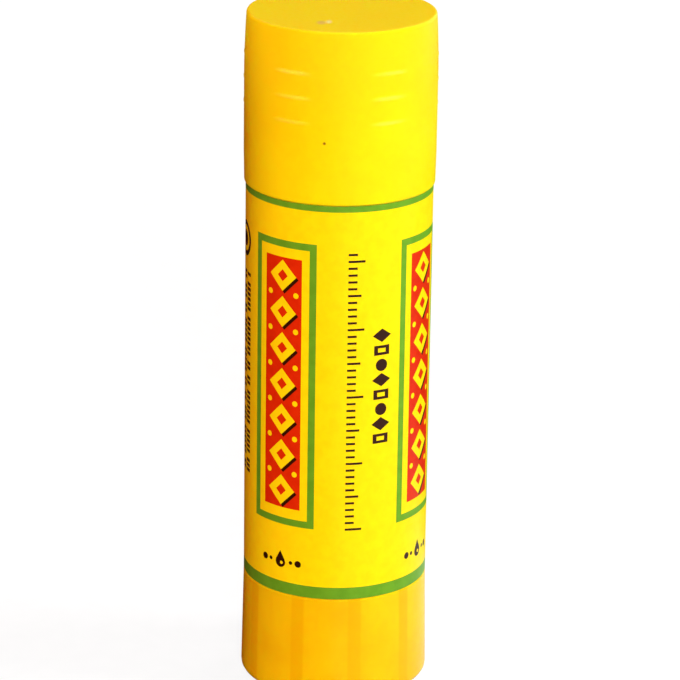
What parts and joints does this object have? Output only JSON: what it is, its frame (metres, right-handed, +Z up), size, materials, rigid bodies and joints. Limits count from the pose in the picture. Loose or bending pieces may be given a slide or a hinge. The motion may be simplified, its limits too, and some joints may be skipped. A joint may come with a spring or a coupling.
{
  "type": "glue stick",
  "caption": "Upright twist-up stick of glue: a push-on cap over a labelled tube, and a turning base whose lead screw raises the glue.",
  "frame": {"origin": "centre of the knob's foot ring, on the surface that the stick stands on", "axes": "+Z up along the stick's axis, from the knob to the cap; the front of the label faces -Y"},
  "size_m": [0.0276, 0.0272, 0.0991],
  "materials": {
    "tube_plastic": "semi-gloss moulded polypropylene, warm yellow",
    "label_film": "glossy printed film, bright yellow with green bands and red panels",
    "knob_plastic": "slightly translucent moulded polypropylene, orange yellow",
    "screw_plastic": "natural white moulded plastic",
    "carrier_plastic": "natural white moulded plastic",
    "glue_paste": "waxy off-white set paste with a soft sheen",
    "cap_plastic": "smooth semi-gloss moulded polypropylene, strong yellow"
  },
  "bodies": {
    "barrel": {"barrel": "tube_plastic", "label": "label_film"},
    "knob": {"knob": "knob_plastic", "spindle": "screw_plastic"},
    "carrier": {"piston": "carrier_plastic", "glue": "glue_paste"},
    "cap": {"cap": "cap_plastic"}
  },
  "joints": [
    {"name": "knob_turn", "type": "hinge", "parent": "barrel", "child": "knob", "pos_m": [0, 0, 0.008], "axis": [0, 0, 1], "range_deg": [0, 5040]},
    {"name": "glue_rise", "type": "slide", "parent": "barrel", "child": "carrier", "axis": [0, 0, 1], "range_m": [0, 0.0561]},
    {"name": "cap_pull", "type": "slide", "parent": "carrier", "child": "cap", "axis": [0, 0, 1], "range_m": [0, 0.03]}
  ],
  "couplings": [
    {"joint": "glue_rise", "follows": "knob_turn", "m_per_rad": 0.00063662}
  ]
}
